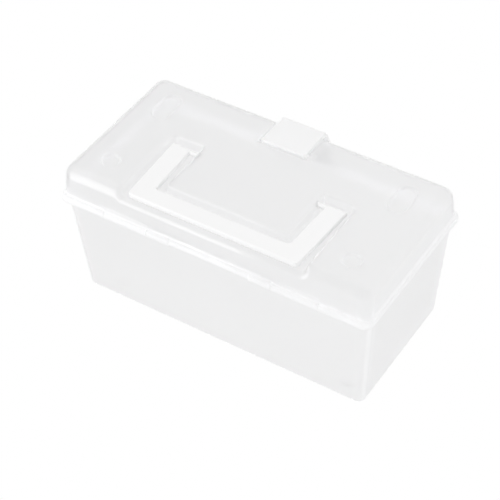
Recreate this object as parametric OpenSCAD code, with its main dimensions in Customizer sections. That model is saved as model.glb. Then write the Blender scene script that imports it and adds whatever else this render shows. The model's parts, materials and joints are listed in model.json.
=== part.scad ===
// Clear handled storage box for art supplies.
// X runs along the length, +Y is the latch side, -Y is the hinge side, +Z is up.
// The origin is in the middle of the four feet, on the plane they stand on.

/* [Tub] */
// Length over the rim
rim_l = 250; // [236:1:300]
// Width over the rim
rim_w = 128; // [122:1:160]
// Height of the top of the rim above the table
rim_z = 92.4; // [70:0.2:130]
// Wall thickness of the tub
tub_t = 1.6; // [1.2:0.1:2.0]
// How far each wall comes in between the rim and the floor
draft_in = 6.2; // [3:0.1:9]

/* [Lid] */
// Height of the lid above the rim
lid_h = 23.4; // [21:0.2:34]
// Wall thickness of the lid
lid_t = 1.5; // [1.2:0.1:1.8]
// Radius of the lid's rounded top edge
lid_edge_r = 8.7; // [6:0.1:10]
// Depth of the channel that the handle folds into
channel_depth = 6.5; // [6.2:0.1:7.5]

/* [Rolled rim and hinge] */
// Radius of the rolled rim, which is also the hinge barrel
rim_r = 3.85; // [3.6:0.05:4.2]
// Radius of the hinge pins on the lid
pin_r = 1.5; // [1.2:0.1:1.7]
// Length of each hinge pin
pin_len = 4; // [3:0.5:5]
// Running clearance between every pin and its bore
play = 0.06; // [0.04:0.01:0.09]

/* [Handle] */
// Distance from the handle's pivot to the front of its bar
handle_reach = 57.8; // [54:0.2:58.6]
// Width of the bar that the hand holds
bar_w = 13.4; // [10:0.2:14]
// Thickness of the handle
handle_t = 4; // [3.6:0.1:4.4]
// Radius of the handle's pivot pins
handle_pin_r = 1.8; // [1.4:0.1:1.9]

/* [Latch] */
// Width of the latch's top plate
latch_w = 35; // [28:1:36]
// Thickness of the latch's top plate
latch_t = 2.5; // [2.2:0.1:2.8]
// Radius of the latch's pivot pins
latch_pin_r = 1.1; // [0.9:0.1:1.3]
// How far the latch's tab hangs below the rim
latch_drop = 4.2; // [2:0.2:8]

/* [Stacking] */
// Distance of each foot from the middle, along the length
foot_x = 96; // [90:1:100]
// Distance of each foot from the middle, across the width
foot_y = 37; // [32:1:40]
// Radius of each foot
foot_r = 5.8; // [4:0.1:6]
// Height of each foot
foot_h = 1.2; // [0.8:0.1:1.4]
// Radius of the round recesses that take another box's front feet
dimple_r = 6.5; // [6.3:0.1:7.5]
// Depth of the stacking recesses
dimple_d = 1.6; // [1.5:0.1:2.2]

/* [Hidden] */
$fn = 64;
eps = 0.02;

hx = rim_l / 2;
hy = rim_w / 2;
// centre line of the rolled rim, and the hinge axis on it
cx = hx - rim_r;
cy = hy - rim_r;
axis_y = -cy;
axis_z = rim_z - rim_r;
plan_r = 7.5;                 // outer plan corner radius of the rim
bend_r = plan_r - rim_r;      // plan radius of the rim's centre line
part_z = rim_z - 1.4;         // where the tub ends and the lid's flange starts
gap = 0.1;                    // gap between the closed lid and the tub

// tub wall: outer half sizes at the rim's underside and at the floor
wall_x = hx - 3.65;
wall_y = hy - 3.625;
wall_z = rim_z - 2 * rim_r;
slope = draft_in / (wall_z - foot_h);
function tub_hx(z) = wall_x - slope * (wall_z - z);
function tub_hy(z) = wall_y - slope * (wall_z - z);
function tub_cr(z) = 7.7 - 2.05 * (wall_z - z) / (wall_z - foot_h);

// lid
lid_top = rim_z + lid_h;
lid_x = hx - 2.2;
lid_y = hy - 2.15;
lid_taper = 0.8;
floor_z = lid_top - channel_depth;
rib_r = 6.6 - tub_t;          // plan corner radius of the locating rib

// hinge knuckles, given by their distance from the middle
k_in = 32;      // inner end of each hinge section
k_a = 50;       // the lid's knuckle sits in the notch between k_a and k_b
k_b = 86;
k_out = 104;    // outer end of each hinge section
side_gap = 0.3;

// handle
piv_z = lid_top - 3;          // handle pivot, on the lid's middle line
leg_in = 55;
leg_out = 69.9;
bar_in = 53.2;
bar_out = 67.2;
chan_x = 72.3;                // half width of the channel
chan_back = 7;
isl_x = 49.5;                 // half width of the raised middle
isl_y = -40;

// latch
lat_y = 36.2;                 // latch pivot
lat_z = lid_top - 1.6;
plate_top = lid_top + 1.1;
plate_bot = plate_top - latch_t;
leg_y0 = lid_y + 0.25;        // inner face of the latch's leg
leg_w = latch_w + 8;          // width of the leg below its shoulders
notch_w = leg_w + 1.2;
seat_w = latch_w + 4.2;       // width of the shallow recess in the lid

// ---------- 2D and layered helpers ----------

// rectangle with round corners, given by its half sizes
module rr(a, b, r) {
    square([2 * a, 2 * (b - r)], center = true);
    square([2 * (a - r), 2 * b], center = true);
    for (sx = [-1, 1], sy = [-1, 1]) translate([sx * (a - r), sy * (b - r)]) circle(r);
}

module layer(a, b, r, z) {
    translate([0, 0, z]) linear_extrude(eps) rr(a, b, r, $fn = 48);
}

// round bar along X
module xbar(r, x0, x1, y, z) {
    translate([x0, y, z]) rotate([0, 90, 0]) cylinder(h = x1 - x0, r = r);
}

module both() { for (s = [0, 1]) mirror([s, 0, 0]) children(); }

// ---------- shells ----------

// drafted tub body with a rounded bottom edge; inset t makes the cavity
module tub_body(t, z0, ztop) {
    a = tub_hx(z0) - t; b = tub_hy(z0) - t; c = max(tub_cr(z0) - t, 2.5);
    e = 3.2;
    hull() {
        for (k = [0 : 22.5 : 90])
            layer(a - e * (1 - sin(k)) + slope * e * (1 - cos(k)),
                  b - e * (1 - sin(k)) + slope * e * (1 - cos(k)),
                  max(c - e * (1 - sin(k)) * 0.6, 1.5), z0 + e * (1 - cos(k)));
        layer(tub_hx(ztop) - t, tub_hy(ztop) - t, tub_cr(wall_z) - t, ztop - eps);
    }
}

// lid dome; inset t makes its inside
module lid_dome(t, z0) {
    a = lid_x - t; b = lid_y - t;
    hull() {
        layer(a, b, 7.5 - t, z0);
        for (k = [0 : 15 : 90])
            let (d = lid_taper + (lid_edge_r - t * 0.5) * (1 - cos(k)))
            layer(a - d, b - d, max(7.3 - t - 0.62 * d, 1.3),
                  lid_top - t - (lid_edge_r - t * 0.5) * (1 - sin(k)) - eps);
    }
}

// one corner of the rolled rim, from the end side round to the long side
module rim_corner(r, far) {
    translate([cx - bend_r, far * (cy - bend_r), axis_z])
        rotate([0, 0, far > 0 ? 0 : -90]) rotate_extrude(angle = 90)
            intersection() {
                translate([bend_r, 0]) circle(r);
                translate([0, -r]) square([bend_r + r, 2 * r]);
            }
}

// rolled rim on the two ends and the latch side, with the latch side's corners
module rim_three(r) {
    both() {
        translate([cx, 0, axis_z]) rotate([90, 0, 0])
            cylinder(h = 2 * (cy - bend_r), r = r, center = true);
        rim_corner(r, 1);
    }
    xbar(r, -(cx - bend_r), cx - bend_r, cy, axis_z);
}

// everything on the latch side and the two ends, above height z
module above(z) { translate([-hx - 5, -hy - 5, z]) cube([2 * hx + 10, 2 * hy + 10, 60]); }
module below(z) { translate([-hx - 5, -hy - 5, z - 60]) cube([2 * hx + 10, 2 * hy + 10, 60]); }

// ---------- tub ----------

module hinge_side_rim() {
    // plain rim between the hinge sections, and the full barrels outside it
    xbar(rim_r - 0.65, -k_in, k_in, axis_y, axis_z);
    both() {
        xbar(rim_r, k_in, k_out - 0.3, axis_y, axis_z);
        xbar(rim_r - 0.3, k_out - 0.31, k_out + 0.31, axis_y, axis_z);
        xbar(rim_r, k_out + 0.3, cx - bend_r, axis_y, axis_z);
    }
}

module tub() color([0.93, 0.94, 0.95, 0.45]) difference() {
    union() {
        difference() {
            union() {
                tub_body(0, foot_h, part_z);
                intersection() {
                    rim_three(rim_r);
                    below(part_z);
                }
                // hinge side corners: full height near the hinge's axis only
                both() intersection() {
                    rim_corner(rim_r, -1);
                    union() {
                        below(part_z);
                        xbar(rim_r - 0.1, -hx, hx, axis_y, axis_z);
                    }
                }
                hinge_side_rim();
                both() for (s = [-1, 1]) translate([foot_x, s * foot_y, 0])
                    cylinder(h = foot_h + 0.5, r = foot_r);
            }
            // inside of the tub, open at the top
            tub_body(tub_t, foot_h + tub_t, part_z + 20 * eps);
            translate([0, 0, part_z]) linear_extrude(3)
                rr(tub_hx(part_z) - tub_t, tub_hy(part_z) - tub_t, 6);
        }
        // full round barrels that carry the hinge bores
        both() { xbar(rim_r, k_a - 9, k_a + 1, axis_y, axis_z);
                 xbar(rim_r, k_b - 1, k_b + 9, axis_y, axis_z); }
    }
    // notches that the lid's knuckles turn in, and the bores for their pins
    both() {
        xbar(rim_r + 0.25, k_a, k_b, axis_y, axis_z);
        translate([k_a, axis_y - rim_r - 1, axis_z]) cube([k_b - k_a, 2 * rim_r + 2, rim_r + 2]);
        xbar(pin_r + play, k_a - pin_len - 0.3, k_a + 1, axis_y, axis_z);
        xbar(pin_r + play, k_b - 1, k_b + pin_len + 0.3, axis_y, axis_z);
    }
    // hollow underside of the rim
    for (s = [-1, 1]) translate([s > 0 ? cx + 1.2 : -cx - 2.6, -cy + 6, wall_z - 1])
        cube([1.4, 2 * cy - 12, 4.6]);
    both() translate([notch_w / 2 + 3, cy + 1.2, wall_z - 1]) cube([cx - 9 - notch_w / 2, 1.4, 4.6]);
    translate([-k_a + 11, axis_y - 2.2, wall_z - 1]) cube([2 * k_a - 22, 1.3, 4.6]);
    both() translate([k_b + 11, axis_y - 2.4, wall_z - 1]) cube([cx - bend_r - k_b - 12, 1.4, 4.6]);
    // flat behind the latch's leg
    translate([-notch_w / 2, lid_y + 0.15, wall_z - 1]) cube([notch_w, 5, 2 * rim_r + 2]);
}

// ---------- lid ----------

module channel_plan(g) {
    // U-shaped plan of the channel; g grows it for the surrounding wall
    difference() {
        union() {
            translate([-chan_x - g, -hy - 10]) square([2 * (chan_x + g), hy + 10]);
            translate([0, 0]) intersection() {
                translate([0, -10]) rr(chan_x + g, 10 + chan_back + g, 4);
                translate([-100, -1]) square([200, 60]);
            }
        }
        translate([0, 40 + isl_y + g]) rr(isl_x - g, 40, 4 - g * 0.6);
        translate([-(isl_x - g), isl_y + 40]) square([2 * (isl_x - g), 60]);
    }
}

module pill(a, b, y0, y1) { // obround: half width a, from y0 to y1
    for (y = [y0 + a, y1 - a]) translate([b, y]) circle(a);
    translate([b - a, y0 + a]) square([2 * a, y1 - y0 - 2 * a]);
}

module lid() color([0.93, 0.94, 0.95, 0.45]) difference() {
    union() {
        difference() {
            lid_dome(0, part_z + gap);
            lid_dome(lid_t, part_z);
        }
        // flange that rests on the rim on three sides
        intersection() {
            difference() {
                union() { rim_three(rim_r); both() rim_corner(rim_r, -1); }
                translate([0, 0, axis_z - 10]) linear_extrude(20) rr(lid_x - lid_t, lid_y - lid_t, 6);
            }
            above(part_z + gap);
        }
        // locating rib that drops inside the tub on three sides
        difference() {
            translate([0, 0, part_z - 3]) linear_extrude(5)
                rr(tub_hx(part_z - 3) - tub_t - 0.35, tub_hy(part_z - 3) - tub_t - 0.35, rib_r);
            translate([0, 0, part_z - 4]) linear_extrude(7)
                rr(tub_hx(part_z - 3) - tub_t - 1.65, tub_hy(part_z - 3) - tub_t - 1.65, rib_r - 1);
        }
        difference() {
            translate([0, 0, part_z + 0.9]) linear_extrude(1.1) rr(lid_x - 0.6, lid_y - 0.6, 6.5);
            translate([0, 0, part_z]) linear_extrude(3)
                rr(tub_hx(part_z - 3) - tub_t - 1.65, tub_hy(part_z - 3) - tub_t - 1.65, rib_r - 1);
        }
        intersection() {
            lid_dome(0, part_z + gap);
            union() {
                // channel pan
                translate([0, 0, floor_z - lid_t]) linear_extrude(channel_depth + lid_t) channel_plan(lid_t);
                // bosses behind the raised middle, for the handle's pins
                both() xbar(3, isl_x - 6, isl_x - 0.5, 0, piv_z);
                // cups under the stacking recesses
                both() translate([foot_x, -foot_y, lid_top - dimple_d - lid_t])
                    cylinder(h = dimple_d + lid_t, r = dimple_r + lid_t);
                translate([0, 0, lid_top - dimple_d - lid_t]) linear_extrude(dimple_d + lid_t)
                    both() pill(dimple_r + 0.1 + lid_t, foot_x, 17 - lid_t, 44 + lid_t);
                // latch seat: pocket for its knuckle, shallow recess behind
                translate([-seat_w / 2 - 4, lat_y - 6.2, lat_z - 5.4]) cube([seat_w + 8, 12.4, 10]);
                translate([-seat_w / 2 - lid_t, lat_y, plate_bot - 0.4 - lid_t]) cube([seat_w + 2 * lid_t, hy, 10]);
            }
        }
        both() {
            // hinge knuckle, its web up to the wall and its two pins
            xbar(rim_r, k_a + side_gap, k_b - side_gap, axis_y, axis_z);
            translate([k_a + side_gap, -lid_y, axis_z]) cube([k_b - k_a - 2 * side_gap, lid_t, rim_r + 1.2]);
            xbar(pin_r, k_a - pin_len, k_b + pin_len, axis_y, axis_z);
        }
    }
    // the handle's channel, open at the hinge side
    translate([0, 0, floor_z]) linear_extrude(30) channel_plan(0);
    both() xbar(handle_pin_r + play, isl_x - 6.5, isl_x + 1, 0, piv_z);
    // stacking recesses
    both() translate([foot_x, -foot_y, lid_top - dimple_d]) cylinder(h = 5, r = dimple_r);
    translate([0, 0, lid_top - dimple_d]) linear_extrude(5) both() pill(dimple_r + 0.1, foot_x, 17, 44);
    // latch seat
    translate([-seat_w / 2, lat_y - 4.6, lat_z - 3.9]) cube([seat_w, 9.2, 12]);
    translate([-seat_w / 2, lat_y, plate_bot - 0.4]) cube([seat_w, hy, 12]);
    both() xbar(latch_pin_r + play, seat_w / 2 - 1, seat_w / 2 + 3.2, lat_y, lat_z);
    // flat behind the latch's leg
    translate([-notch_w / 2, lid_y + 0.1, part_z - 1]) cube([notch_w, 5, 6]);
    // clearance around the hinge barrel: the lid has no flange on that side
    difference() {
        union() {
            xbar(rim_r + 0.15, -hx - 1, hx + 1, axis_y, axis_z);
            translate([-hx - 1, axis_y - 8, axis_z - 8]) cube([2 * hx + 2, 8, 8 + rim_r + 0.15]);
            translate([-hx - 1, axis_y - 8, axis_z - 8]) cube([2 * hx + 2, 8 + rim_r, 8]);
        }
        both() {
            xbar(rim_r, k_a + side_gap, k_b - side_gap, axis_y, axis_z);
            translate([k_a + side_gap, -lid_y, axis_z]) cube([k_b - k_a - 2 * side_gap, lid_t, rim_r + 1.2]);
            xbar(pin_r, k_a - pin_len, k_b + pin_len, axis_y, axis_z);
        }
    }
}

// ---------- handle ----------

module handle() color([0.97, 0.97, 0.97]) {
    zt = piv_z + handle_t / 2;
    translate([0, 0, zt - handle_t]) linear_extrude(handle_t) difference() {
        union() {
            polygon([[-leg_out, 0], [-bar_out, 3 - handle_reach], [bar_out, 3 - handle_reach], [leg_out, 0]]);
            translate([0, 5 - handle_reach]) rr(bar_out - 0.05, 5, 3);
        }
        polygon([[-leg_in, 1], [-bar_in, bar_w - handle_reach], [bar_in, bar_w - handle_reach], [leg_in, 1]]);
    }
    both() {
        xbar(handle_t / 2, leg_in, leg_out, 0, piv_z);
        xbar(handle_pin_r, isl_x - 5.5, leg_in + 1, 0, piv_z);
    }
}

// ---------- latch ----------

module latch() color([0.95, 0.95, 0.95, 0.85]) {
    lw = latch_w / 2;
    yo = hy;                          // outer face of the leg
    zb = wall_z - latch_drop;
    // pivot bar with its two pins
    xbar(2, -lw, lw, lat_y, lat_z);
    xbar(latch_pin_r, -seat_w / 2 - 2.8, seat_w / 2 + 2.8, lat_y, lat_z);
    // top plate, with a rounded back corner
    rotate([90, 0, 90]) translate([0, 0, -lw]) linear_extrude(2 * lw) union() {
        translate([lat_y - 2.8, plate_bot]) square([yo - 3 - lat_y + 2.8, latch_t]);
        difference() {
            translate([yo - 3, plate_top - 3]) intersection() { circle(3); square(3); }
            translate([leg_y0 - 1, plate_bot - 1]) intersection() { circle(1); translate([0, 0]) square(1); }
            translate([yo - 4, plate_bot - 5]) square([leg_y0 - yo + 4 - 1, 5]);
            translate([yo - 4, plate_bot - 5]) square([leg_y0 - yo + 4, 4]);
        }
    }
    // leg that hangs behind the lid and rim, wider below its shoulders
    translate([0, yo, 0]) rotate([90, 0, 0]) linear_extrude(yo - leg_y0)
        polygon([[-lw, plate_top - 3], [-leg_w / 2, plate_top - 10], [-leg_w / 2, zb + 2], [-leg_w / 2 + 2, zb],
                 [leg_w / 2 - 2, zb], [leg_w / 2, zb + 2], [leg_w / 2, plate_top - 10], [lw, plate_top - 3]]);
    // finger ledge along the bottom of the leg
    xbar(0.95, -leg_w / 2 + 4, leg_w / 2 - 4, yo - 0.95 - 0.6, zb + 0.9);
}

tub();
lid();
handle();
latch();
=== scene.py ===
"""A clear plastic box with a white carrying handle and a white latch.

The box stands on z = 0 with its long side along X. The lid's hinge runs along X on the
-Y side and the latch hangs over the +Y side. The handle lies in a channel in the lid,
pivots near the middle and has its grip towards -Y. Everything is mirrored about x = 0.

Each piece is a signed distance field (negative inside), in millimetres, which is meshed
as a surface net and written in metres.
"""
import json
import math
import bpy
import numpy as np
from mathutils import Matrix, Vector


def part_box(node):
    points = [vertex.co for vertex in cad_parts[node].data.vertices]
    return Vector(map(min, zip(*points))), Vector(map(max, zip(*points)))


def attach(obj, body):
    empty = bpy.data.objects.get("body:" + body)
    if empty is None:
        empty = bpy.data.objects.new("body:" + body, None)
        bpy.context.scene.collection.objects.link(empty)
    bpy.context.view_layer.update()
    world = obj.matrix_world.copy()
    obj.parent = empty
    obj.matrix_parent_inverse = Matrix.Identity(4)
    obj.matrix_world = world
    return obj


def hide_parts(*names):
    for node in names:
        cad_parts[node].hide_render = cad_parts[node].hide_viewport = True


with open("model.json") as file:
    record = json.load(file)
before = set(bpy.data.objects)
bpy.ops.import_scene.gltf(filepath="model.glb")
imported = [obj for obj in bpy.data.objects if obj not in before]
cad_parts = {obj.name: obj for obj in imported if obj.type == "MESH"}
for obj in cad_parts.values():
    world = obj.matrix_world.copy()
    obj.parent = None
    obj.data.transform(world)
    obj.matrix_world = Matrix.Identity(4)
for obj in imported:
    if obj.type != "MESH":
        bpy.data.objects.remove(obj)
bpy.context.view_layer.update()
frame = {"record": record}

JOINTS = {j["name"]: j for j in frame["record"]["behaviour"]["joints"]}


def upper_corner(piece):
    return [float(v) * 1000 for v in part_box(piece)[1]]


def joint_axis(name):
    """(y, z) of a joint whose axis runs along X."""
    place = JOINTS[name]["pos_m"]
    return place[1] * 1000, place[2] * 1000


# ---------------------------------------------------------------- dimensions (mm)
# Half sizes are marked HALF; T is a wall thickness and R a radius.
RIM_HALF_X, RIM_HALF_Y, RIM_Z = upper_corner("tub")     # outside and top of the rolled rim
LID_TOP = upper_corner("lid")[2]
PLATE_TOP = upper_corner("latch")[2]
HINGE = HINGE_Y, HINGE_Z = joint_axis("lid_hinge")
PIVOT = PIVOT_Y, PIVOT_Z = joint_axis("handle_pivot")
LATCH = LATCH_Y, LATCH_Z = joint_axis("latch_pivot")

# rolled rim: a tube about a rounded rectangle at the height of the hinge
RIM_R = RIM_Z - HINGE_Z
RIM_MID_X, RIM_MID_Y = RIM_HALF_X - RIM_R, RIM_HALF_Y - RIM_R
BEND_R = 7.5 - RIM_R
PART_Z = RIM_Z - 1.4                    # parting plane of tub and lid
SLIM_HALF = 32.0                        # slimmer stretch on the hinge side
SLIM_BY = 0.65

# tub: half sizes at the top of the wall, which leans in towards the floor
WALL_HALF_X, WALL_HALF_Y = RIM_HALF_X - 3.65, RIM_HALF_Y - 3.625
WALL_Z = RIM_Z - 2 * RIM_R
TUB_T = 1.6
FOOT_H = 1.2
FOOT_R = 5.8
FOOT_X, FOOT_Y = 96.0, 37.0
SLOPE = 6.2 / (WALL_Z - FOOT_H)

# hinge: the lid's knuckle fills the gap between these two places on each half
KNUCKLE_X0, KNUCKLE_X1 = 50.0, 86.0
HINGE_PIN_R, HINGE_BORE_R = 1.5, 1.56

# lid
LID_HALF_X, LID_HALF_Y = RIM_HALF_X - 2.2, RIM_HALF_Y - 2.15
LID_T = 1.5
LID_EDGE_R = 8.7
CHANNEL_Z = LID_TOP - 6.5               # floor of the handle's channel
CHANNEL_HALF_X, CHANNEL_END_Y = 72.3, 7.0
ISLAND_HALF_X, ISLAND_Y = 49.5, -40.0   # raised part that the channel runs round
RECESS_DEPTH = 1.6
ROUND_RECESS_R = 6.5
LONG_RECESS_R, LONG_RECESS_Y0, LONG_RECESS_Y1 = 6.6, 17, 44

# latch
LATCH_HALF = 17.5
SEAT_HALF = 19.6
LEG_HALF = 21.5
LEG_Y0 = LID_HALF_Y + 0.25              # inner face of the leg
PLATE_BOTTOM = PLATE_TOP - 2.5
LATCH_PIN_R, LATCH_BORE_R = 1.1, 1.16

# handle
HANDLE_HALF_T = 2.0
GRIP_OUT, GRIP_IN = 57.8, 44.4          # the grip lies between these distances towards -Y
GRIP_OUT_HALF, GRIP_IN_HALF = 67.2, 53.2
SPREAD_OUT, SPREAD_IN = 2.7, 1.8        # how far each leg's sides move out by y = 0
HANDLE_WALL = 1.7
HANDLE_TOP_T = 1.6
RIB_PITCH, RIB_HALF_T = 11.2, 0.55
HANDLE_PIN_R, HANDLE_BORE_R = 1.8, 1.86

FAR = 1e3                               # a distance beyond every part


# ---------------------------------------------------------------- distance fields
def meet(a, b, r):
    """Intersection whose convex edge is rounded to radius r."""
    corner = np.sqrt(np.maximum(a + r, 0) ** 2 + np.maximum(b + r, 0) ** 2)
    return np.minimum(-r, np.maximum(a, b)) + corner


def join(a, b, r):
    """Union whose concave corner is filled to radius r."""
    corner = np.sqrt(np.maximum(r - a, 0) ** 2 + np.maximum(r - b, 0) ** 2)
    return np.maximum(r, np.minimum(a, b)) - corner


def carve(a, b, r):
    """a without b, the new edge rounded to radius r."""
    return meet(a, -b, r)


def rounded_rect(x, y, half_x, half_y, r):
    qx = np.abs(x) - half_x + r
    qy = np.abs(y) - half_y + r
    corner = np.sqrt(np.maximum(qx, 0) ** 2 + np.maximum(qy, 0) ** 2)
    return corner + np.minimum(np.maximum(qx, qy), 0) - r


def span(v, low, high):
    return np.maximum(low - v, v - high)


def block(x, y, z, low, high, r):
    """Box between two corners, its edges rounded to radius r."""
    centre = [(a + b) / 2 for a, b in zip(low, high)]
    half = [(b - a) / 2 - r for a, b in zip(low, high)]
    qx, qy, qz = [np.abs(v - c) - h for v, c, h in zip((x, y, z), centre, half)]
    out = np.sqrt(np.maximum(qx, 0) ** 2 + np.maximum(qy, 0) ** 2 + np.maximum(qz, 0) ** 2)
    return out + np.minimum(np.maximum(np.maximum(qx, qy), qz), 0) - r


def axis_distance(y, z, axis):
    return np.sqrt((y - axis[0]) ** 2 + (z - axis[1]) ** 2)


def rod(x, y, z, axis, radius, x0, x1, r=0.0):
    """Round rod along X about axis (y, z), its ends rounded to radius r."""
    side = axis_distance(y, z, axis) - radius
    ends = span(x, x0, x1)
    return meet(side, ends, r) if r else np.maximum(side, ends)


def upright_slot(x, y, radius, xc, y0, y1):
    """Plan of a slot along Y with round ends."""
    yc = np.clip(y, y0 + radius, y1 - radius)
    return np.sqrt((x - xc) ** 2 + (y - yc) ** 2) - radius


def tub_half(z):
    """Half sizes of the tub's drafted wall at height z."""
    return WALL_HALF_X - SLOPE * (WALL_Z - z), WALL_HALF_Y - SLOPE * (WALL_Z - z)


def corner_r(z):
    """Radius of the tub's upright corners at height z."""
    return 7.7 - 2.05 * np.clip((WALL_Z - z) / (WALL_Z - FOOT_H), 0, 1)


def rim_plan(x, y):
    return rounded_rect(x, y, RIM_MID_X, RIM_MID_Y, BEND_R)


def rim_tube(x, y, z):
    plan = rim_plan(x, y)
    return np.sqrt(plan * plan + (z - HINGE_Z) ** 2) - RIM_R


# ---------------------------------------------------------------- tub
def tub_rim(x, y, z):
    ax = np.abs(x)
    slim = SLIM_BY * (1 / (1 + np.exp(np.clip((ax - SLIM_HALF) / 0.12, -30, 30)))) * (y < 0)
    tube = rim_tube(x, y, z) + slim
    # full round along the straight hinge side, up to the parting plane elsewhere
    barrel = axis_distance(y, z, HINGE) - (RIM_R - 0.1)
    keep = np.minimum(z - PART_Z, np.where(y < 0, barrel, FAR))
    straight = (y < 0) & (ax < RIM_MID_X - BEND_R)
    return np.where(straight, tube, meet(tube, keep, r=0.08))


def rim_hollow(x, y, z):
    """Slot in the rim's underside, left solid round the knuckles and behind the latch."""
    ax = np.abs(x)
    margin = 11
    slot = np.maximum(np.abs(rim_plan(x, y) - 1.9) - 0.7, z - (WALL_Z + 3.6))
    past_knuckle = np.where(ax > KNUCKLE_X1, KNUCKLE_X1 + margin - ax, FAR)
    hinge_side = np.minimum(ax - (KNUCKLE_X0 - margin), past_knuckle)
    latch_side = np.where(ax < 70, LEG_HALF + 3.6 - ax, -FAR)
    return np.maximum(slot, np.where(y < 0, hinge_side, latch_side))


def tub_sdf(x, y, z):
    ax = np.abs(x)
    half_x, half_y = tub_half(z)
    side = rounded_rect(x, y, half_x, half_y, corner_r(z)) * 0.9972
    body = meet(side, FOOT_H - z, r=3.4)
    cavity = meet(side + TUB_T, FOOT_H + TUB_T - z, r=2.4)
    tub = join(meet(body, z - PART_Z, r=0.1), tub_rim(x, y, z), r=0.9)
    tub = carve(tub, cavity, r=0.35)
    # full barrels beside the knuckle
    for x0, x1 in ((KNUCKLE_X0 - 9, KNUCKLE_X0), (KNUCKLE_X1, KNUCKLE_X1 + 9)):
        tub = join(tub, rod(ax, y, z, HINGE, RIM_R, x0, x1, r=0.25), r=0.3)
    # notch for the lid's knuckle
    beside = np.maximum(HINGE_Z - z, np.abs(y - HINGE_Y) - RIM_R - 1)
    gap = np.minimum(axis_distance(y, z, HINGE) - RIM_R - 0.25, beside)
    tub = carve(tub, np.maximum(span(ax, KNUCKLE_X0, KNUCKLE_X1), gap), r=0.15)
    # bores for the hinge pins
    for x0, x1 in ((KNUCKLE_X0 - 4.3, KNUCKLE_X0 + 1), (KNUCKLE_X1 - 1, KNUCKLE_X1 + 4.3)):
        tub = np.maximum(tub, -rod(ax, y, z, HINGE, HINGE_BORE_R, x0, x1))
    tub = carve(tub, rim_hollow(x, y, z), r=0.15)
    # flat behind the latch's leg
    behind = np.maximum(LID_HALF_Y + 0.15 - y, WALL_Z - 1 - z)
    tub = carve(tub, np.maximum(ax - (LEG_HALF + 0.6), behind), r=0.3)
    foot_side = np.sqrt((ax - FOOT_X) ** 2 + (np.abs(y) - FOOT_Y) ** 2) - FOOT_R
    foot = meet(foot_side, span(z, 0.0, FOOT_H + 0.6), r=0.45)
    return join(tub, foot, r=0.5)


# ---------------------------------------------------------------- lid
def channel_plan(x, y):
    """U-shaped plan of the handle's channel."""
    ax = np.abs(x)
    outer = meet(ax - CHANNEL_HALF_X, y - CHANNEL_END_Y, r=3.5)
    outer = meet(outer, -110.0 - y, r=0.1)      # closed well outside the lid
    island = meet(ax - ISLAND_HALF_X, ISLAND_Y - y, r=4.0)
    return carve(outer, island, r=0.1)


def channel(x, y, z):
    """The channel, widening upwards."""
    above = np.maximum(z - CHANNEL_Z, 0)
    return meet(channel_plan(x, y) - 0.16 * above, CHANNEL_Z - z, r=1.8)


def lid_side(x, y, z):
    """Side wall, drawn in by 0.8 mm up to the start of the rounded top edge."""
    rise = np.clip((z - PART_Z) / (LID_TOP - LID_EDGE_R - PART_Z), 0, 1.3)
    half_x, half_y = LID_HALF_X - 0.8 * rise, LID_HALF_Y - 0.8 * rise
    return rounded_rect(x, y, half_x, half_y, 7.0 + 2.0 * np.clip(rise, 0, 1))


def stacking_recesses(ax, y, z):
    """Round recesses on the -Y side and long ones on the +Y side."""
    above = LID_TOP - RECESS_DEPTH - z
    round_plan = np.sqrt((ax - FOOT_X) ** 2 + (y + FOOT_Y) ** 2) - ROUND_RECESS_R
    long_plan = upright_slot(ax, y, LONG_RECESS_R, FOOT_X, LONG_RECESS_Y0, LONG_RECESS_Y1)
    return np.minimum(meet(round_plan, above, r=1.3), meet(long_plan, above, r=1.3))


def latch_recess(ax, y, z):
    """Shallow seat for the latch's plate with a deeper pocket for its knuckle."""
    seat = meet(ax - SEAT_HALF, LATCH_Y - y, r=0.6)
    seat = meet(seat, PLATE_BOTTOM - 0.4 - z, r=0.4)
    pocket = meet(ax - SEAT_HALF, np.abs(y - LATCH_Y) - 4.6, r=0.8)
    pocket = meet(pocket, LATCH_Z - 3.9 - z, r=1.2)
    return np.minimum(seat, pocket)


def lid_skin(x, y, z, side):
    """Outside and inside of the domed shell; recesses keep a wall below them."""
    ax = np.abs(x)
    top = z - LID_TOP
    outside = meet(side, top, r=LID_EDGE_R)
    inside = meet(side + LID_T, top + LID_T, r=7.6)
    grip_side = np.clip((-54.0 - y) / 4.0, 0, 1)
    for recess, r_outside, r_inside in (
            (channel(x, y, z), 1.7 + 2.6 * grip_side, 1.2),
            (stacking_recesses(ax, y, z), 1.2, 0.6),
            (latch_recess(ax, y, z), 0.4, 0.6)):
        outside = carve(outside, recess, r_outside)
        inside = carve(inside, recess - LID_T, r_inside)
    return outside, inside


def locating_rib(x, y, z, side):
    """Rib that reaches down inside the tub; also the web that carries it."""
    # single precision, so the rib's wall keeps its exact place
    half_x, half_y = tub_half(np.float32(PART_Z - 3))
    plan = rounded_rect(x, y, half_x - TUB_T - 0.35, half_y - TUB_T - 0.35, 5.0)
    rib = meet(plan, -(plan + 1.3), r=0.3)
    rib = meet(rib, span(z, PART_Z - 3, PART_Z + 2), r=0.3)
    inner = rounded_rect(x, y, half_x - TUB_T - 1.65, half_y - TUB_T - 1.65, 4.0)
    web = np.maximum(np.maximum(side + 0.6, -inner), span(z, PART_Z + 0.9, PART_Z + 2.0))
    return rib, web


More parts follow.
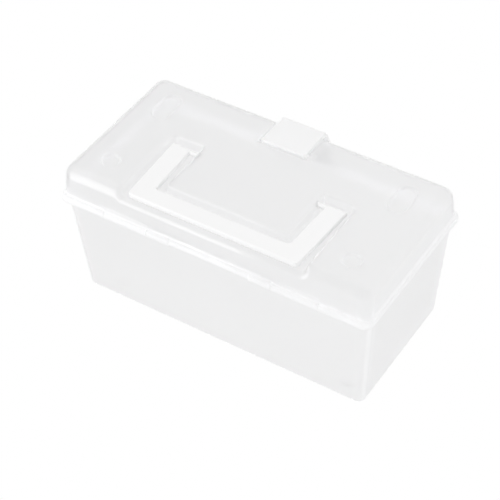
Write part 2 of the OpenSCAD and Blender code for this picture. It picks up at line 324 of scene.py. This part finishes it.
def lid_sdf(x, y, z):
    ax = np.abs(x)
    side = lid_side(x, y, z)
    outside, inside = lid_skin(x, y, z, side)
    lid = np.maximum(outside, -inside)
    # bosses for the latch's pin, kept inside the dome
    boss = block(ax, y, z, (SEAT_HALF - 1, LATCH_Y - 3.4, LATCH_Z - 3.0),
                 (SEAT_HALF + 4.2, LATCH_Y + 3.4, LID_TOP + 5), r=0.5)
    lid = join(lid, meet(boss, outside, r=0.2), r=0.5)
    # flange: the upper part of the rim's tube
    flange = np.maximum(rim_tube(x, y, z), PART_Z + 0.1 - z)
    flange = np.maximum(flange, -(side + LID_T))
    lid = join(lid, flange, r=2.2)
    rib, web = locating_rib(x, y, z, side)
    lid = np.minimum(lid, np.minimum(rib, web))
    # flat underside everywhere but at the rib
    below = np.where(rib < 0.4, -FAR, PART_Z + 0.1 - z)
    lid = np.maximum(lid, np.where(z > PART_Z + 0.5, -FAR, below))
    # clearance round the tub's hinge barrel
    beyond = np.maximum(y - HINGE_Y, z - (HINGE_Z + RIM_R + 0.15))
    beneath = np.maximum(y - (HINGE_Y + RIM_R), z - HINGE_Z)
    barrel = axis_distance(y, z, HINGE) - RIM_R - 0.15
    lid = carve(lid, np.minimum(barrel, np.minimum(beyond, beneath)), r=0.2)
    # bores for the latch's and the handle's pins
    for axis, radius, x0, x1 in ((LATCH, LATCH_BORE_R, SEAT_HALF - 2, SEAT_HALF + 3.2),
                                 (PIVOT, HANDLE_BORE_R, 46.0, 50.5)):
        lid = np.maximum(lid, -rod(ax, y, z, axis, radius, x0, x1))
    # flat behind the latch's leg
    behind = np.maximum(LID_HALF_Y + 0.1 - y, span(z, PART_Z - 1, PART_Z + 5))
    lid = carve(lid, np.maximum(ax - (LEG_HALF + 0.6), behind), r=0.2)
    # hinge knuckles with their webs and pins
    knuckle = rod(ax, y, z, HINGE, RIM_R, KNUCKLE_X0 + 0.15, KNUCKLE_X1 - 0.15, r=0.15)
    knuckle_web = block(ax, y, z, (KNUCKLE_X0 + 0.3, -LID_HALF_Y + 0.05, HINGE_Z),
                        (KNUCKLE_X1 - 0.3, -LID_HALF_Y + LID_T, HINGE_Z + RIM_R + 3), r=0.2)
    lid = join(lid, join(knuckle, knuckle_web, r=0.6), r=0.5)
    pin = rod(ax, y, z, HINGE, HINGE_PIN_R, KNUCKLE_X0 - 4, KNUCKLE_X1 + 4, r=0.2)
    return np.minimum(lid, pin)


# ---------------------------------------------------------------- handle
def leg_side(ax, y, half_width, reach, spread):
    """Slanting side of a leg: half_width at y = -reach, wider by spread at y = 0."""
    slope = spread / reach
    return (ax - (half_width + slope * (y + reach))) / math.hypot(1, slope)


def across_rib(v):
    """Distance to the nearest of the ribs that repeat along v."""
    return np.abs(v % RIB_PITCH - RIB_PITCH / 2) - RIB_HALF_T


def handle_sdf(x, y, z):
    ax = np.abs(x)
    outer = meet(leg_side(ax, y, GRIP_OUT_HALF, GRIP_OUT, SPREAD_OUT), -GRIP_OUT - y, r=3.0)
    outer = np.maximum(outer, y - PIVOT_Y - HANDLE_HALF_T)
    inner = meet(leg_side(ax, y, GRIP_IN_HALF, GRIP_IN, SPREAD_IN), -GRIP_IN - y, r=1.2)
    plan = carve(outer, inner, r=0.4)
    top, bottom = PIVOT_Z + HANDLE_HALF_T, PIVOT_Z - HANDLE_HALF_T
    handle = meet(plan, span(z, bottom, top), r=0.75)
    # round pivot end of each leg
    end = np.where(y > PIVOT_Y, axis_distance(y, z, PIVOT) - HANDLE_HALF_T, -FAR)
    handle = meet(handle, end, r=0.3)
    # hollow underside with ribs, short of the pivots
    hollow = np.maximum(plan + HANDLE_WALL, z - (top - HANDLE_TOP_T))
    hollow = np.maximum(hollow, y + 8.0)
    ribs = np.where(y < -46.0, across_rib(ax + RIB_PITCH / 2), across_rib(y + 100))
    handle = carve(handle, np.maximum(hollow, -ribs), r=0.25)
    pin = rod(ax, y, z, PIVOT, HANDLE_PIN_R, 46.8, 56.0, r=0.3)
    return join(handle, pin, r=0.4)


# ---------------------------------------------------------------- latch
def latch_sdf(x, y, z):
    ax = np.abs(x)
    bottom = WALL_Z - 4.2
    outer_y = RIM_HALF_Y
    # side profile: plate and leg as one bent strip
    strip_out = meet(y - outer_y, z - PLATE_TOP, r=3.0)
    strip_in = meet(y - LEG_Y0, z - PLATE_BOTTOM, r=1.4)
    strip = np.maximum(strip_out, -strip_in)
    # shoulders: the leg is wider than the plate
    widening = np.clip((PLATE_TOP - 1.5 - z) / 8.0, 0, 1)
    width = (ax - (LATCH_HALF + (LEG_HALF - LATCH_HALF) * widening)) * 0.9
    outline = meet(width, np.maximum(LATCH_Y - 2.8 - y, bottom - z), r=1.0)
    latch = meet(strip, outline, r=0.55)
    latch = join(latch, rod(ax, y, z, LATCH, 2.0, -1, LATCH_HALF, r=0.4), r=0.8)
    latch = np.minimum(latch, rod(ax, y, z, LATCH, LATCH_PIN_R, 0, SEAT_HALF + 2.8, r=0.2))
    # finger ledge along the bottom of the leg
    ledge = rod(ax, y, z, (outer_y - 1.55, bottom + 0.9), 0.95, 0, LEG_HALF - 4, r=0.3)
    latch = join(latch, ledge, r=0.5)
    # gussets inside the corner
    for gusset_x in (0.0, 11.0):
        faces = np.maximum(y - LEG_Y0 - 0.3, z - PLATE_BOTTOM - 0.3)
        gusset = np.maximum(np.abs(ax - gusset_x) - 0.6, faces)
        slant = 0.7071 * ((LEG_Y0 - y) + (PLATE_BOTTOM - z)) - 0.7071 * 2.6
        latch = join(latch, np.maximum(gusset, slant), r=0.3)
    return latch


# ---------------------------------------------------------------- surface nets
def lines(*parts):
    """Grid lines from (start, stop, step) parts; overlapping parts take the finer step."""
    v = min(start for start, _, _ in parts)
    end = max(stop for _, stop, _ in parts)
    out = [v]
    while v < end - 1e-6:
        step = min(s for start, stop, s in parts if start - 1e-6 <= v < stop - 1e-6)
        following = v + step
        for start, _, finer in parts:       # stop at the start of any finer part
            if v + 1e-6 < start < following and finer < step:
                following = start
        v = min(following, end)
        out.append(v)
    return np.array(out, np.float64)


def mirror_lines(*parts):
    """Lines from 0 outwards, on both sides of 0."""
    half = lines(*parts)
    return np.concatenate([-half[::-1], half[1:]])


def other_axes(axis):
    return [a for a in range(3) if a != axis]


def cell_points(field, grid, cells):
    """For each cell, the mean of the places where the surface crosses its edges."""
    total = np.zeros((len(cells[0]), 3))
    count = np.zeros(len(cells[0]))
    for axis in range(3):
        side1, side2 = other_axes(axis)
        for u in (0, 1):
            for v in (0, 1):
                start = list(cells)
                start[side1] = start[side1] + u
                start[side2] = start[side2] + v
                stop = list(start)
                stop[axis] = stop[axis] + 1
                f0, f1 = field[tuple(start)], field[tuple(stop)]
                crossed = (f0 < 0) != (f1 < 0)
                t = np.where(crossed, f0 / np.where(crossed, f0 - f1, 1), 0)
                for a in range(3):
                    c0, c1 = grid[a][start[a]], grid[a][stop[a]]
                    total[:, a] += np.where(crossed, c0 + t * (c1 - c0), 0)
                count += crossed
    return total / np.maximum(count, 1)[:, None]


def cell_quads(inside, index):
    """One quad round each crossed grid edge, facing outwards."""
    quads = []
    for axis in range(3):
        side1, side2 = other_axes(axis)
        low, high = [slice(None)] * 3, [slice(None)] * 3
        low[axis], high[axis] = slice(0, -1), slice(1, None)
        edge = list(np.nonzero(inside[tuple(low)] != inside[tuple(high)]))
        ok = (edge[side1] > 0) & (edge[side2] > 0)
        ok &= (edge[side1] < index.shape[side1]) & (edge[side2] < index.shape[side2])
        edge = [e[ok] for e in edge]
        corners = []
        for u, v in ((1, 1), (0, 1), (0, 0), (1, 0)):
            cell = list(edge)
            cell[side1] = cell[side1] - u
            cell[side2] = cell[side2] - v
            corners.append(index[tuple(cell)])
        quad = np.stack(corners, 1)
        forward = inside[tuple(edge)]
        if axis == 1:
            forward = ~forward
        quads.append(np.where(forward[:, None], quad, quad[:, ::-1]))
    return np.concatenate(quads)


def gradient(sdf, points, reach):
    out = np.empty_like(points)
    for a in range(3):
        offset = np.zeros(3)
        offset[a] = reach
        out[:, a] = (sdf(*(points + offset).T) - sdf(*(points - offset).T)) / (2 * reach)
    return out


def surface_net(sdf, grid, warp=None):
    """Points, quads and normals of the surface; warp bends the grid to follow the piece."""
    places = np.ix_(*grid)
    if warp:
        places = warp(*places)
    field = np.broadcast_to(sdf(*places), [len(g) for g in grid]).astype(np.float32)
    field = np.where(field == 0, np.float32(1e-6), field)
    inside = field < 0
    shape = [len(g) - 1 for g in grid]
    count = np.zeros(shape, np.int8)
    for i in (0, 1):
        for j in (0, 1):
            for k in (0, 1):
                count += inside[i:i + shape[0], j:j + shape[1], k:k + shape[2]]
    cells = np.nonzero((count > 0) & (count < 8))
    index = -np.ones(shape, np.int32)
    index[cells] = np.arange(len(cells[0]))
    points = cell_points(field, grid, cells)
    quads = cell_quads(inside, index)
    if warp:
        points = np.stack(warp(*points.T), 1)
    # pull the points onto the surface
    for _ in range(5):
        distance = sdf(*points.T)
        slope = gradient(sdf, points, reach=0.02)
        length2 = np.maximum((slope * slope).sum(1), 0.3)
        points = points - np.clip(distance / length2, -0.35, 0.35)[:, None] * slope
    # a wide reach keeps shading calm along the small edges
    slope = gradient(sdf, points, reach=0.3)
    normals = slope / np.maximum(np.linalg.norm(slope, axis=1), 1e-6)[:, None]
    return points, quads, normals


def follow_tub(x, y, z):
    """Bend the grid along the tub's drafted walls and its narrowing corners."""
    height = np.minimum(z, RIM_Z)
    r, r_top = corner_r(height), corner_r(RIM_Z)

    def follow(v, half, half_top):
        size = np.abs(v)
        flat = half_top - r_top
        moved = np.where(size <= flat, size * (half - r) / flat,
                         (half - r) + (size - flat) * r / r_top)
        return np.sign(v) * moved

    (half_x, half_y), (top_x, top_y) = tub_half(height), tub_half(RIM_Z)
    return follow(x, half_x, top_x), follow(y, half_y, top_y), z


def build(name, sdf, grid, piece, material, warp=None, thick=None):
    """Mesh a piece, hand it to its body, and let it stand in for the CAD piece."""
    points, quads, normals = surface_net(sdf, grid, warp)
    mesh = bpy.data.meshes.new(name)
    mesh.vertices.add(len(points))
    mesh.vertices.foreach_set("co", (points / 1000).astype(np.float32).ravel())
    mesh.loops.add(len(quads) * 4)
    mesh.loops.foreach_set("vertex_index", quads.astype(np.int32).ravel())
    mesh.polygons.add(len(quads))
    mesh.polygons.foreach_set("loop_start", np.arange(0, len(quads) * 4, 4, dtype=np.int32))
    mesh.polygons.foreach_set("loop_total", np.full(len(quads), 4, np.int32))
    mesh.update(calc_edges=True)
    mesh.validate()
    mesh.shade_smooth()
    mesh.normals_split_custom_set_from_vertices(normals.astype(np.float32).tolist())
    if thick is not None:
        for label, values in (("thick", thick), ("outline", outline), ("shine", shine)):
            attribute = mesh.attributes.new(label, "FLOAT", "POINT")
            attribute.data.foreach_set("value", values(*points.T).astype(np.float32))
    piece_object = bpy.data.objects.new(name, mesh)
    bpy.context.scene.collection.objects.link(piece_object)
    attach(piece_object, piece)
    mesh.materials.append(material)
    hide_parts(piece)


# ---------------------------------------------------------------- point attributes
def smooth(v, low, high):
    t = np.clip((v - low) / (high - low), 0, 1)
    return t * t * (3 - 2 * t)


def outline(x, y, z):
    """Mask of the painted edge shade: 1 on the outer skin next to the side walls, 0 on the
    recesses in the top.
    """
    inward = np.minimum(LID_HALF_X - np.abs(x), LID_HALF_Y - np.abs(y))
    return 1 - smooth(inward, 5.0, 8.0)


def corner_turn(y, z, half_y):
    """Place round an upright corner of the tub: -1 where it starts, 0 at the flat Y wall."""
    return (np.abs(y) - half_y) / corner_r(z)


def shine(x, y, z):
    """1 almost everywhere; the tub's upright corners and its hinge barrel are less glossy."""
    ax = np.abs(x)
    half_x, half_y = tub_half(z)
    turn = corner_turn(y, z, half_y)
    corner = smooth(turn, -1.30, -1.10) * (1 - smooth(turn, -0.50, -0.20))
    corner = corner * (ax > half_x - 4.0) * (ax < half_x + 0.5) * (z < WALL_Z)
    barrel = smooth(z, WALL_Z - 0.5, WALL_Z + 0.6) * (z < RIM_Z + 0.5)
    barrel = barrel * (y < -50) * (ax < RIM_MID_X + 3)
    return 1 - np.maximum(0.85 * corner, 0.45 * barrel)


def thick_tub(x, y, z):
    """How milky the plastic looks: 0 on thin walls, 1 in the rim, less on feet, and less on
    corners, where the stripe is a painted highlight.
    """
    ax = np.abs(x)
    rim = smooth(z, WALL_Z - 1.0, WALL_Z + 0.6)
    half_x, half_y = tub_half(z)
    turn = corner_turn(y, z, half_y)
    # milky stripe part way round each end corner: a painted highlight for the light line on the
    # rounded corner
    corner = 0.50 * smooth(turn, -0.94, -0.82) * (1 - smooth(turn, -0.62, -0.50))
    corner = corner * (ax > half_x - 4.0)
    inward = -(np.hypot(ax - FOOT_X, np.abs(y) - FOOT_Y) - 6.6)
    foot = 0.10 * smooth(inward, -1.6, 0.6) * (z < FOOT_H + 2.2)
    return np.maximum(np.maximum(rim, corner), foot)


def thick_lid(x, y, z):
    """1 in the flange and knuckles, fading up the wall's foot; a little on other features."""
    ax = np.abs(x)
    foot = 1 - smooth(z, PART_Z + 1.2, PART_Z + 4.4)
    wall = 0.07 * (1 - smooth(np.abs(channel_plan(x, y) - 0.6), 1.4, 3.4))
    wall = wall * (z > CHANNEL_Z - 2.4) * (1 - smooth(z, LID_TOP - 1.6, LID_TOP - 0.2))
    seat = 0.14 * (1 - smooth(ax, 22.5, 26.0)) * smooth(y, 28.5, 31.0) * (z > PLATE_BOTTOM - 9)
    corner = 0.04 * smooth(np.minimum(ax - LID_HALF_X, np.abs(y) - LID_HALF_Y), -8.0, -3.4)
    boss = 0.30 * (np.abs(ax - SEAT_HALF - 1.6) < 3.4) * (np.abs(y - LATCH_Y) < 4.2)
    boss = boss * (z > LATCH_Z - 4) * (z < LID_TOP - 1.0)
    # lips of the stacking recesses
    slot_y = np.clip(y, LONG_RECESS_Y0 + LONG_RECESS_R, LONG_RECESS_Y1 - LONG_RECESS_R)
    away = np.hypot(ax - FOOT_X, y - np.where(y < 0, -FOOT_Y, slot_y))
    lip = 0.16 * (1 - smooth(np.abs(away - 6.4), 0.5, 1.2)) * (z > LID_TOP - 3.4)
    return np.maximum.reduce([foot, wall, seat, corner, boss, lip])


# ---------------------------------------------------------------- shader helpers
def fresh_tree(owner):
    owner.use_nodes = True
    owner.node_tree.nodes.clear()
    return owner.node_tree


def feed(tree, socket, value):
    """Link a socket to another one, or set its value."""
    if isinstance(value, bpy.types.NodeSocket):
        tree.links.new(value, socket)
    else:
        socket.default_value = value


def add(tree, kind, **settings):
    """New node; settings are its inputs (with _ for a space) or its properties."""
    node = tree.nodes.new("ShaderNode" + kind)
    for key, value in settings.items():
        label = key.replace("_", " ")
        if label in node.inputs.keys():
            feed(tree, node.inputs[label], value)
        else:
            setattr(node, key, value)
    return node


def calc(tree, operation, *values, clamp=False):
    node = add(tree, "Math", operation=operation, use_clamp=clamp)
    for socket, value in zip(node.inputs, values):
        feed(tree, socket, value)
    return node.outputs[0]


def remap(tree, value, low, high, out_low, out_high, kind="LINEAR"):
    node = add(tree, "MapRange", interpolation_type=kind, Value=value, From_Min=low,
               From_Max=high, To_Min=out_low, To_Max=out_high)
    return node.outputs["Result"]


def vary(tree, flow, low, high):
    """A value that wanders between low and high with the slow noise."""
    return remap(tree, flow, 0.3, 0.7, low, high)


def mix_colours(tree, factor, a, b):
    return add(tree, "Mix", data_type="RGBA", Factor=factor, A=a, B=b).outputs["Result"]


def mix_shaders(tree, factor, first, second):
    node = add(tree, "MixShader", Fac=factor)
    tree.links.new(first, node.inputs[1])
    tree.links.new(second, node.inputs[2])
    return node.outputs["Shader"]


def rgba(colour, factor=1.0):
    return (*[c * factor for c in colour], 1)


def grain(tree, flow_vector, fine_vector, scale, detail, seed, flow_bump, fine_bump):
    """Slow flow noise and fine grain: returns the slow noise and the bumped normal."""
    flow = add(tree, "TexNoise", noise_dimensions="4D", W=seed, Vector=flow_vector,
               Scale=scale, Detail=detail, Roughness=0.55).outputs["Fac"]
    fine = add(tree, "TexNoise", Vector=fine_vector,
               Scale=900.0, Detail=2.0, Roughness=0.6).outputs["Fac"]
    wavy = add(tree, "Bump", Height=flow, **flow_bump).outputs["Normal"]
    return flow, add(tree, "Bump", Height=fine, Normal=wavy, **fine_bump).outputs["Normal"]


# ---------------------------------------------------------------- materials
WALL_IOR = 1.045                        # light passes the walls with little bending
MILK_COLOUR = (0.985, 0.985, 0.988, 1)


def milky_shader(tree, flow, facing, thick, haze, thick_haze):
    """Milk shader and its share, 1 - exp(-haze / cosine), from the plastic's light path."""
    milk = mix_shaders(tree, 0.5,
                       add(tree, "BsdfTranslucent", Color=MILK_COLOUR).outputs["BSDF"],
                       add(tree, "BsdfDiffuse", Color=MILK_COLOUR).outputs["BSDF"])
    amount = remap(tree, thick, 0.0, 1.0, haze, thick_haze)
    amount = calc(tree, "MULTIPLY", amount, vary(tree, flow, 0.85, 1.15))
    cosine = remap(tree, facing, 0.0, 0.9, 1.0, 0.1)
    path = calc(tree, "DIVIDE", amount, cosine)
    passed = calc(tree, "EXPONENT", calc(tree, "MULTIPLY", path, -1.0))
    return milk, calc(tree, "SUBTRACT", 1.0, passed)


def gloss_shader(tree, flow, normal, facing, thick, edge, edge_dull):
    """Gloss shader and its share, which is 0 on faces seen from behind."""
    fresnel = add(tree, "Fresnel", IOR=1.45, Normal=normal).outputs["Fac"]
    behind = add(tree, "NewGeometry").outputs["Backfacing"]
    kept = calc(tree, "MULTIPLY_ADD", edge, -edge_dull, 1.0, clamp=True)
    shown = calc(tree, "MULTIPLY", calc(tree, "SUBTRACT", 1.0, behind), kept)
    share = calc(tree, "MULTIPLY", fresnel, shown)
    shine_value = add(tree, "Attribute", attribute_name="shine").outputs["Fac"]
    share = calc(tree, "MULTIPLY", share, shine_value)
    # rougher at glancing angles and where the plastic is thick
    rough = calc(tree, "MAXIMUM", vary(tree, flow, 0.07, 0.12),
                 remap(tree, facing, 0.60, 0.72, 0.07, 0.30))
    rough = calc(tree, "MAXIMUM", rough, remap(tree, thick, 0.3, 1.0, 0.07, 0.32))
    return add(tree, "BsdfGlossy", Roughness=rough, Normal=normal).outputs["BSDF"], share


def clear_plastic(name, tint, haze, thick_haze, edge_shade_tint, edge_dull, seed):
    """See-through wall with a faint milky haze that gathers where the plastic is thick.

    edge_shade_tint is the tint left at slanting edges as painted shade, edge_dull the gloss lost
    there.
    """
    material = bpy.data.materials.new(name)
    tree = fresh_tree(material)
    place = add(tree, "TexCoord").outputs["Object"]
    stretched = add(tree, "Mapping", Scale=(1.0, 1.6, 2.4), Vector=place).outputs["Vector"]
    flow, normal = grain(tree, stretched, place, scale=22.0, detail=3.0, seed=seed,
                         flow_bump=dict(Strength=0.05, Distance=0.0004),
                         fine_bump=dict(Strength=0.012, Distance=0.00003))
    facing = add(tree, "LayerWeight", Blend=0.5).outputs["Facing"]
    thick = add(tree, "Attribute", attribute_name="thick").outputs["Fac"]
    # painted edge shade: the tint darkens at the slanting edges of the outer skin, only partly
    # from light lost along the longer path
    edge = calc(tree, "MULTIPLY", remap(tree, facing, 0.62, 0.95, 0.0, 1.0, "SMOOTHSTEP"),
                add(tree, "Attribute", attribute_name="outline").outputs["Fac"])
    colour = mix_colours(tree, flow, rgba(tint, 0.99), rgba(tint))
    colour = mix_colours(tree, edge, colour, rgba(tint, edge_shade_tint))
    wall = add(tree, "BsdfPrincipled", IOR=WALL_IOR, Transmission_Weight=1.0,
               Base_Color=colour, Roughness=vary(tree, flow, 0.277, 0.287),
               Normal=normal).outputs["BSDF"]
    milk, milk_share = milky_shader(tree, flow, facing, thick, haze, thick_haze)
    gloss, gloss_share = gloss_shader(tree, flow, normal, facing, thick, edge, edge_dull)
    body = mix_shaders(tree, milk_share, wall, milk)
    add(tree, "OutputMaterial", Surface=mix_shaders(tree, gloss_share, body, gloss))
    return material


def white_plastic(name, colour, rough, translucent, painted_shade_level, seed):
    """White plastic with shade painted where other surfaces are near; painted_shade_level is the
    brightness kept there.
    """
    material = bpy.data.materials.new(name)
    tree = fresh_tree(material)
    place = add(tree, "TexCoord").outputs["Object"]
    flow, normal = grain(tree, place, place, scale=35.0, detail=4.0, seed=seed,
                         flow_bump=dict(Strength=0.06, Distance=0.0003),
                         fine_bump=dict(Strength=0.12, Distance=0.00005))
    base = mix_colours(tree, flow, rgba(colour, 0.985), rgba(colour))
    # painted shade: the base colour darkens where other surfaces are near
    openness = add(tree, "AmbientOcclusion", samples=8, Distance=0.005).outputs["AO"]
    base = mix_colours(tree, remap(tree, openness, 0.25, 0.85, 0.0, 1.0),
                       rgba(colour, painted_shade_level), base)
    shader = add(tree, "BsdfPrincipled", IOR=1.49, Base_Color=base, Normal=normal,
                 Roughness=vary(tree, flow, rough - 0.05, rough + 0.05)).outputs["BSDF"]
    if translucent:
        glow = add(tree, "BsdfTranslucent", Color=(0.95, 0.95, 0.95, 1)).outputs["BSDF"]
        shader = mix_shaders(tree, translucent, shader, glow)
    add(tree, "OutputMaterial", Surface=shader)
    return material


# the edge tints given below paint shade along slanting edges, far darker on the lid
TUB_PLASTIC = clear_plastic("clear_tub_plastic", tint=(0.995, 0.995, 0.996), haze=0.043,
                            thick_haze=0.85, edge_shade_tint=0.97, edge_dull=0.0, seed=1.7)
LID_PLASTIC = clear_plastic("clear_lid_plastic", tint=(0.988, 0.988, 0.989), haze=0.043,
                            thick_haze=0.85, edge_shade_tint=0.48, edge_dull=0.9, seed=4.1)
HANDLE_PLASTIC = white_plastic("white_handle_plastic", colour=(0.84, 0.84, 0.84), rough=0.38,
                               translucent=0.0, painted_shade_level=0.80, seed=2.2)
LATCH_PLASTIC = white_plastic("white_latch_plastic", colour=(0.935, 0.935, 0.935), rough=0.35,
                              translucent=0.42, painted_shade_level=0.98, seed=7.9)

# ---------------------------------------------------------------- pieces
# Grid parts are (start, stop, step) in mm: a coarse step overall, finer ones at details.
TUB_GRID = (
    mirror_lines((0, 127, 5.0), (31.0, 33.2, 0.45), (49.2, 51.0, 0.45), (85.0, 87.0, 0.45),
                 (116.4, 126.4, 0.6), (45, 47, 0.7), (89.0, 105.0, 0.75), (21, 26, 0.6)),
    mirror_lines((0, 65, 5.0), (54.5, 65, 0.55), (30.0, 44.0, 0.75)),
    lines((-0.6, 93.3, 6.0), (-0.6, 6.2, 0.45), (83.3, 93.3, 0.45)))
LID_GRID = (
    mirror_lines((0, 127, 3.0), (16, 26, 0.5), (41.5, 57, 0.5), (66, 78, 0.5),
                 (88, 104, 0.6), (111, 126.4, 0.6), (84.5, 87, 0.4)),
    np.unique(np.round(np.concatenate([
        -lines((0, 65, 3.0), (50, 65, 0.55), (28, 46, 0.6))[::-1],
        lines((0, 65, 3.0), (0, 12, 0.55), (14, 26, 0.8), (29, 47, 0.6), (50, 65, 0.55))]), 4)),
    lines((84.3, 117.0, 2.5), (84.3, 95.5, 0.45), (104.5, 117.0, 0.42)))
HANDLE_GRID = (
    mirror_lines((0, 72, 0.9), (42, 58, 0.4), (62, 72, 0.45)),
    lines((-60, 4, 0.8), (-60, -55, 0.35), (-47, -42, 0.35), (-4, 4, 0.35)),
    lines((109.8, 115.8, 0.3)))
LATCH_GRID = (
    mirror_lines((0, 24, 0.6)),
    lines((31, 66, 0.6), (31, 39.5, 0.35), (58, 66, 0.32)),
    lines((78, 119, 0.7), (78, 83, 0.35), (108, 119, 0.35)))

build("tub_shell", tub_sdf, TUB_GRID, "tub", TUB_PLASTIC,
      warp=follow_tub, thick=thick_tub)
build("lid_shell", lid_sdf, LID_GRID, "lid", LID_PLASTIC, thick=thick_lid)
build("handle_bar", handle_sdf, HANDLE_GRID, "handle", HANDLE_PLASTIC)
build("latch_clasp", latch_sdf, LATCH_GRID, "latch", LATCH_PLASTIC)

# ---------------------------------------------------------------- floor (m)
FLOOR_HALF, FLOOR_Z = 4, -0.0004
FLOOR_GLOW = 0.870                      # brightness as seen through the plastic


def floor_material():
    """Glowing from above and invisible from below."""
    material = bpy.data.materials.new("studio_floor")
    tree = fresh_tree(material)
    # white to the camera, in the gloss and as fill light; a little greyer through the plastic
    ray = add(tree, "LightPath").outputs
    seen = calc(tree, "MAXIMUM", ray["Is Camera Ray"], ray["Diffuse Depth"])
    mirrored = calc(tree, "SUBTRACT", ray["Is Glossy Ray"], ray["Is Transmission Ray"])
    whole = calc(tree, "MAXIMUM", seen, mirrored)
    glow = add(tree, "Emission", Color=(1, 1, 1, 1),
               Strength=remap(tree, whole, 0.0, 1.0, FLOOR_GLOW, 1.0)).outputs["Emission"]
    nothing = add(tree, "BsdfTransparent").outputs["BSDF"]
    behind = add(tree, "NewGeometry").outputs["Backfacing"]
    add(tree, "OutputMaterial", Surface=mix_shaders(tree, behind, glow, nothing))
    return material


floor_mesh = bpy.data.meshes.new("studio_floor")
floor_mesh.from_pydata([(sx * FLOOR_HALF, sy * FLOOR_HALF, FLOOR_Z)
                        for sx, sy in ((-1, -1), (1, -1), (1, 1), (-1, 1))],
                       [], [(0, 1, 2, 3)])
floor = bpy.data.objects.new("studio_floor", floor_mesh)
bpy.context.scene.collection.objects.link(floor)
floor_mesh.materials.append(floor_material())

# ---------------------------------------------------------------- world
world = bpy.data.worlds.new("studio")
bpy.context.scene.world = world
sky = fresh_tree(world)
sky_direction = add(sky, "TexCoord").outputs["Generated"]
sky_axes = add(sky, "SeparateXYZ", Vector=sky_direction).outputs


def zone(direction, low, high, amount):
    """Round zone about a direction, from 0 at cosine low to amount at cosine high."""
    node = add(sky, "VectorMath", operation="DOT_PRODUCT")
    feed(sky, node.inputs[0], sky_direction)
    feed(sky, node.inputs[1], Vector(direction).normalized())
    return remap(sky, node.outputs["Value"], low, high, 0.0, amount, "SMOOTHSTEP")


def band(axis, low, high, out_low, out_high):
    return remap(sky, sky_axes[axis], low, high, out_low, out_high, "SMOOTHSTEP")


def blend(factor, a, b):
    """a where factor is 0, b where factor is 1."""
    rest = calc(sky, "SUBTRACT", 1.0, factor)
    return calc(sky, "ADD", calc(sky, "MULTIPLY", a, rest), calc(sky, "MULTIPLY", b, factor))


ray = add(sky, "LightPath").outputs
mirrored = calc(sky, "MULTIPLY", ray["Is Glossy Ray"],
                calc(sky, "SUBTRACT", 1.0, ray["Is Transmission Ray"]))
# diffuse light: an even fill, stronger from -X -Y above and a little from +X
fill = calc(sky, "ADD", 1.0, zone((-0.62, -0.55, 0.56), 0.55, 0.98, amount=0.55))
fill = calc(sky, "ADD", fill, zone((0.90, 0.10, 0.30), 0.30, 0.95, amount=0.08))
# reflections: two soft grey zones, one up on the -Y side and one up towards -X +Y
grey = calc(sky, "MULTIPLY", band("X", -0.43, -0.38, 0.0, 0.85), band("Y", 0.10, 0.35, 1.0, 0.0))
grey = calc(sky, "MULTIPLY", grey, band("Z", 0.15, 0.40, 0.0, 1.0))
grey = calc(sky, "MAXIMUM", grey, zone((-0.75, 0.35, 0.56), 0.84, 0.97, amount=0.50))
strength = blend(mirrored, 0.90, calc(sky, "SUBTRACT", 0.90, grey))
strength = blend(calc(sky, "MINIMUM", ray["Diffuse Depth"], 1.0), strength, fill)
strength = blend(ray["Is Camera Ray"], strength, 1.0)
background = add(sky, "Background", Color=(1, 1, 1, 1), Strength=strength)
add(sky, "OutputWorld", Surface=background.outputs["Background"])

# ---------------------------------------------------------------- light (m, W)
# a low upright panel on the -Y side of the -X half that only shows in the gloss
panel = bpy.data.lights.new("strip", "AREA")
panel.shape = "RECTANGLE"
panel.size = 0.36
panel.size_y = 0.276
panel.energy = 1.30
strip = bpy.data.objects.new("strip", panel)
strip.location = (-0.255, -0.285, 0.141)
strip.rotation_mode = "QUATERNION"
strip.rotation_quaternion = Vector((0.0, 0.285, 0.0)).to_track_quat("-Z", "Y")
bpy.context.scene.collection.objects.link(strip)
for kind in ("camera", "diffuse", "transmission", "volume_scatter"):
    setattr(strip, "visible_" + kind, False)

# ---------------------------------------------------------------- camera (mm, degrees)
AIM_Z = 53.2833333                      # height on the Z axis that the camera circles
CAMERA_DISTANCE = 1170.3697917
CAMERA_SHIFT_X, CAMERA_SHIFT_Y = 6.4927083, 5.0197917   # moved left and down in its own frame
AZIMUTH, ELEVATION, ROLL = (math.radians(a) for a in (34.118, 43.972, -2.247))

back = np.array([math.sin(AZIMUTH) * math.cos(ELEVATION),
                 -math.cos(AZIMUTH) * math.cos(ELEVATION),
                 math.sin(ELEVATION)])
level = np.cross(-back, [0, 0, 1])
level /= np.linalg.norm(level)
upward = np.cross(level, -back)
right = level * math.cos(ROLL) + upward * math.sin(ROLL)
up = -level * math.sin(ROLL) + upward * math.cos(ROLL)
eye = np.array([0, 0, AIM_Z]) - CAMERA_SHIFT_X * right - CAMERA_SHIFT_Y * up
eye = (eye + CAMERA_DISTANCE * back) / 1000

camera_data = bpy.data.cameras.new("camera")
camera_data.sensor_width = 36.0
camera_data.lens = 119.301192
camera_data.clip_start = 0.05
camera_data.clip_end = 50
camera = bpy.data.objects.new("camera", camera_data)
bpy.context.scene.collection.objects.link(camera)
camera.matrix_world = Matrix([*zip(right, up, back, eye), (0, 0, 0, 1)])

# ---------------------------------------------------------------- render settings
scene = bpy.context.scene
scene.camera = camera
scene.view_settings.view_transform = "Standard"
scene.view_settings.look = "None"
scene.cycles.max_bounces = 24
scene.cycles.transmission_bounces = 24
scene.cycles.transparent_max_bounces = 24
scene.cycles.glossy_bounces = 12
scene.cycles.diffuse_bounces = 24
scene.cycles.use_denoising = True
scene.cycles.filter_width = 1.7
scene.cycles.blur_glossy = 0.0
scene.cycles.caustics_reflective = True
scene.cycles.caustics_refractive = True
